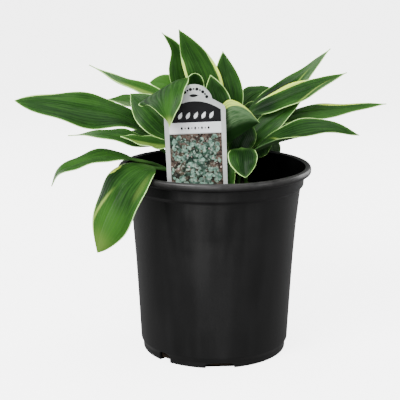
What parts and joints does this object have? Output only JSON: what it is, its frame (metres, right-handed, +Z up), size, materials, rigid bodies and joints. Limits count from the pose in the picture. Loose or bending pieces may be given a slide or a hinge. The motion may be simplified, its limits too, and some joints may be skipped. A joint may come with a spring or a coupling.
{
  "type": "potted hosta plant",
  "caption": "Variegated hosta in a round black nursery pot with a rolled lip, filled with soil, with an upright arched plastic plant label standing at its front.",
  "frame": {"origin": "middle of the pot's underside, on the surface that the pot stands on", "axes": "+Z up; -Y is the side that the label faces; +X to the right of someone facing the label"},
  "size_m": [0.3191, 0.2244, 0.2843],
  "materials": {
    "pot_plastic": "satin black recycled polypropylene, faintly scuffed",
    "potting_soil": "dark moist bark and peat mix, crumbly",
    "label_plastic": "white printed polystyrene sheet, slightly glossy",
    "leaf": "dark green ribbed leaf with a cream margin, satin above and duller grey-green below"
  },
  "bodies": {
    "root": {"pot": "pot_plastic", "soil": "potting_soil", "plant_label": "label_plastic", "leaf_01_long_left": "leaf", "leaf_02_back_left": "leaf", "leaf_03_thin_tip": "leaf", "leaf_04_curled": "leaf", "leaf_05_over_label": "leaf", "leaf_06_behind_label": "leaf", "leaf_07_left_of_label": "leaf", "leaf_08_low_left": "leaf", "leaf_09_front_left": "leaf", "leaf_10_inner_right": "leaf", "leaf_11_arching": "leaf", "leaf_12_over_rim": "leaf", "leaf_13_top_left": "leaf", "leaf_14_top_middle": "leaf", "leaf_15_top_right": "leaf", "leaf_16_behind_label": "leaf", "leaf_17_cupped": "leaf", "leaf_18_back_right": "leaf", "leaf_19_upper_right": "leaf", "leaf_20_right": "leaf", "leaf_21_pointing_right": "leaf", "leaf_22_long_right": "leaf", "leaf_23_low_right": "leaf", "leaf_24_back_rim": "leaf", "leaf_25_front_heart": "leaf", "leaf_26_front": "leaf", "leaf_33_low_inner": "leaf", "leaf_27_back": "leaf", "leaf_28_back_left": "leaf", "leaf_29_back_right": "leaf", "leaf_30_back_upright": "leaf", "leaf_31_back_side": "leaf", "leaf_32_back_low": "leaf"}
  },
  "joints": []
}
